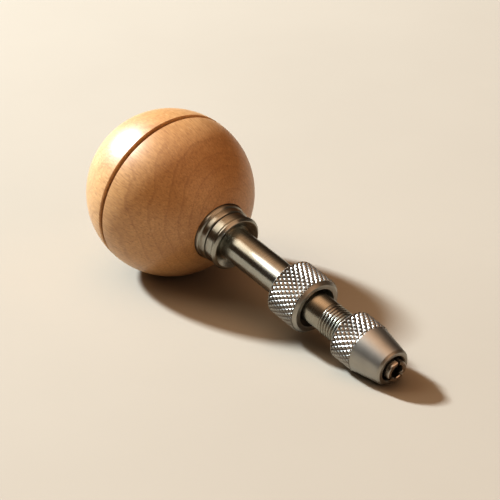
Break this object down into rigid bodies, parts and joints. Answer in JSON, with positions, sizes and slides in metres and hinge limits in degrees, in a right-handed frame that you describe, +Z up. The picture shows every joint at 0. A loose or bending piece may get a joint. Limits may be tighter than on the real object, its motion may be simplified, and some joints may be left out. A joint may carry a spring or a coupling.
{
  "type": "string winder",
  "caption": "Hand string winder: wooden ball handle with a free-turning palm cap, steel shank, knurled grip collar and a three-jaw collet chuck with a knurled conical nut.",
  "frame": {"origin": "on the ground plane, under the middle of the tool as it lies", "axes": "+Z up, +X towards the chuck; the tool's own axis lies in the XZ plane and slopes down towards the chuck, because the tool rests on its ball and on the rim of the chuck nut"},
  "size_m": [0.0874, 0.035, 0.035],
  "materials": {
    "wood": "satin lacquer over pale close-grained maple or beech",
    "satin_steel": "satin turned, fine lathe marks",
    "knurled_steel": "satin, diamond knurl on the grip bands",
    "chuck_steel": "satin, bright thread crests",
    "spring_steel": "hardened spring steel, polished tip",
    "screw_steel": "plain machined",
    "brass": "machined",
    "bronze": "sintered bronze, oiled",
    "nylon": "natural nylon"
  },
  "bodies": {
    "handle": {"ball_body": "wood", "swivel_bush": "bronze", "shank_insert": "brass", "base_ring": "satin_steel", "ferrule": "satin_steel", "shank": "satin_steel", "grip_collar": "knurled_steel", "chuck_nose": "chuck_steel", "collet_spring": "spring_steel"},
    "palm_cap": {"palm_cap": "wood", "cap_insert": "brass", "swivel_screw": "screw_steel", "flat_washer": "screw_steel", "cone_washer": "spring_steel", "thrust_washer": "nylon"},
    "collet": {"collet_guide": "spring_steel"},
    "collet_jaw_1": {"collet_jaw_1": "spring_steel"},
    "collet_jaw_2": {"collet_jaw_2": "spring_steel"},
    "collet_jaw_3": {"collet_jaw_3": "spring_steel"},
    "chuck_nut": {"chuck_nut": "knurled_steel"}
  },
  "joints": [
    {"name": "palm_cap_spin", "type": "hinge", "parent": "handle", "child": "palm_cap", "pos_m": [-0.02617, 0, 0.0175], "axis": [0.9805, 0, -0.1965], "continuous": true},
    {"name": "collet_feed", "type": "slide", "parent": "handle", "child": "collet", "axis": [0.9805, 0, -0.1965], "range_m": [-0.00075, 0.00112], "deforming": ["collet_spring"]},
    {"name": "chuck_nut_turn", "type": "hinge", "parent": "collet", "child": "chuck_nut", "pos_m": [0.02972, 0, 0.0063], "axis": [0.9805, 0, -0.1965], "range_deg": [-360, 540]},
    {"name": "collet_jaw_1_bend", "type": "hinge", "parent": "collet", "child": "collet_jaw_1", "pos_m": [0.02471, 0, 0.00547], "axis": [0, 1, 0], "range_deg": [-0.6, 0.9]},
    {"name": "collet_jaw_2_bend", "type": "hinge", "parent": "collet", "child": "collet_jaw_2", "pos_m": [0.02524, 0.00156, 0.00811], "axis": [0.1702, -0.5, 0.8491], "range_deg": [-0.6, 0.9]},
    {"name": "collet_jaw_3_bend", "type": "hinge", "parent": "collet", "child": "collet_jaw_3", "pos_m": [0.02524, -0.00156, 0.00811], "axis": [-0.1702, -0.5, -0.8491], "range_deg": [-0.6, 0.9]}
  ],
  "couplings": [
    {"joint": "chuck_nut_turn", "follows": "collet_feed", "rad_per_m": 8377.6},
    {"joint": "collet_jaw_1_bend", "follows": "collet_feed", "rad_per_m": 12.835},
    {"joint": "collet_jaw_2_bend", "follows": "collet_feed", "rad_per_m": 12.835},
    {"joint": "collet_jaw_3_bend", "follows": "collet_feed", "rad_per_m": 12.835}
  ]
}
